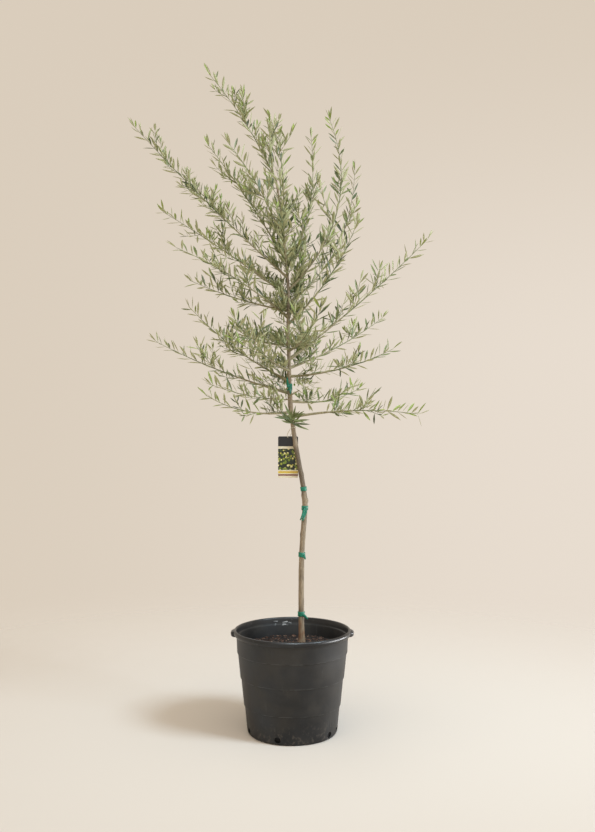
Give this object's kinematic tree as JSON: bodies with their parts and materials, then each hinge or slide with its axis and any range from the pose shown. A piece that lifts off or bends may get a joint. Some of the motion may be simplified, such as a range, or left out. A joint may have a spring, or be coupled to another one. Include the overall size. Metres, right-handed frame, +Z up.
{
  "type": "potted olive tree",
  "caption": "Young olive tree with a slender leaning trunk and an open crown of narrow grey-green leaves, in a round black nursery pot.",
  "frame": {"origin": "centre of the pot's flat underside", "axes": "+Z up along the pot's axis, -Y towards the front, +X to the right seen from the front"},
  "size_m": [0.8149, 0.6045, 1.7347],
  "materials": {
    "pot": "moulded black polypropylene, satin, scuffed and dusty",
    "soil": "moist dark potting mix of composted bark",
    "bark": "smooth young brown-grey bark",
    "foliage": "narrow leathery leaves, grey-green above and silvery beneath",
    "tape": "soft teal-green plastic tie tape",
    "card": null
  },
  "bodies": {
    "root": {"pot": "pot", "soil": "soil", "trunk": "bark", "bough_left_1": "bark", "bough_left_2": "bark", "bough_left_3": "bark", "bough_left_4": "bark", "bough_left_5": "bark", "bough_left_6": "bark", "bough_left_7": "bark", "bough_left_8": "bark", "bough_left_9": "bark", "bough_left_10": "bark", "bough_right_1": "bark", "bough_right_2": "bark", "bough_right_3": "bark", "bough_right_4": "bark", "bough_right_5": "bark", "bough_right_6": "bark", "bough_right_7": "bark", "bough_right_8": "bark", "bough_front_1": "bark", "bough_front_2": "bark", "bough_front_3": "bark", "bough_back_1": "bark", "bough_back_2": "bark", "bough_back_3": "bark", "foliage_left_1": "foliage", "foliage_left_2": "foliage", "foliage_left_3": "foliage", "foliage_left_4": "foliage", "foliage_left_5": "foliage", "foliage_left_6": "foliage", "foliage_left_7": "foliage", "foliage_left_8": "foliage", "foliage_left_9": "foliage", "foliage_left_10": "foliage", "foliage_right_1": "foliage", "foliage_right_2": "foliage", "foliage_right_3": "foliage", "foliage_right_4": "foliage", "foliage_right_5": "foliage", "foliage_right_6": "foliage", "foliage_right_7": "foliage", "foliage_right_8": "foliage", "foliage_front_1": "foliage", "foliage_front_2": "foliage", "foliage_front_3": "foliage", "foliage_back_1": "foliage", "foliage_back_2": "foliage", "foliage_back_3": "foliage", "foliage_leader": "foliage", "foliage_low_spray": "foliage", "foliage_tuft": "foliage", "tie_1": "tape", "tie_2": "tape", "tie_3": "tape", "tie_4": "tape", "tie_5": "tape", "tag": "card"}
  },
  "joints": []
}
